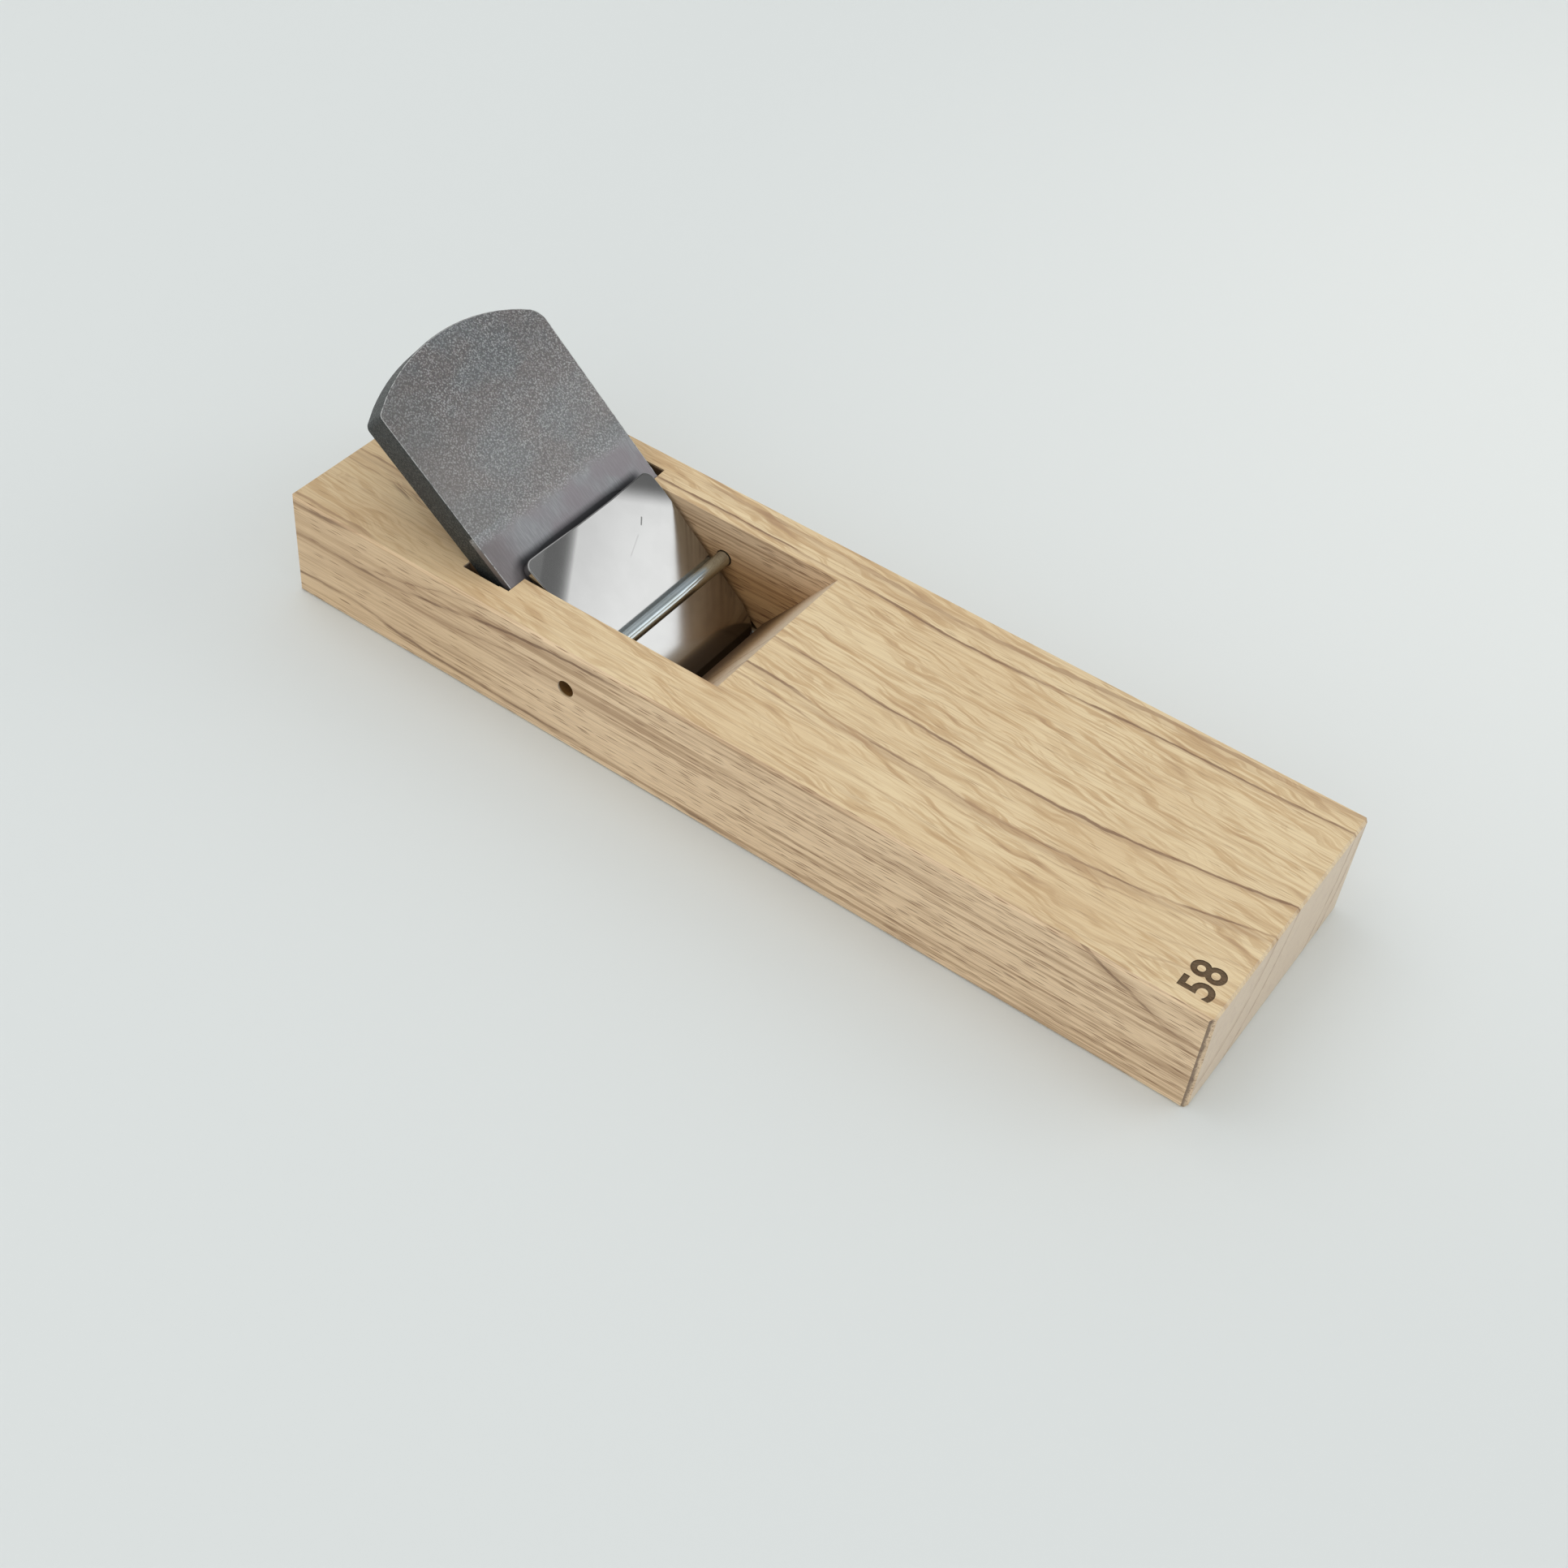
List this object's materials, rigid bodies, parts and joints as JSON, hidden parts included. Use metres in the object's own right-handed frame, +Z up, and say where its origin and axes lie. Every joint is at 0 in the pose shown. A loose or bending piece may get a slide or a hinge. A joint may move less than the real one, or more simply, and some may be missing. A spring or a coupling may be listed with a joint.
{
  "type": "japanese kanna plane",
  "caption": "Wooden pull plane: oak block with a laminated blade bedded in cheek grooves, a chip breaker held under a cross rod, and an open throat.",
  "frame": {"origin": "middle of the sole, at the centre of the block's length and width", "axes": "+X along the block to the toe end, away from the blade's head; +Y to the far side; +Z up from the sole"},
  "size_m": [0.258, 0.074, 0.067],
  "materials": {
    "oak": "planed bare white oak, unvarnished",
    "forged_iron": "pebbled dark forge skin with worn arrises",
    "facing_steel": "ground dark steel, smoother than the forge skin",
    "bright_steel": "finely polished with light scratches",
    "zinc_steel": "bluish zinc plate"
  },
  "bodies": {
    "block": {"oak_block": "oak", "pressure_rod": "zinc_steel"},
    "blade": {"blade_iron_body": "forged_iron", "blade_steel_facing": "facing_steel"},
    "chip_breaker": {"chip_breaker": "bright_steel"}
  },
  "joints": [
    {"name": "blade_slide", "type": "slide", "parent": "block", "child": "blade", "axis": [-0.7771, 0, 0.6293], "range_m": [-0.0006, 0.045]},
    {"name": "chip_breaker_slide", "type": "slide", "parent": "blade", "child": "chip_breaker", "axis": [-0.7771, 0, 0.6293], "range_m": [-0.0002, 0.02]}
  ]
}
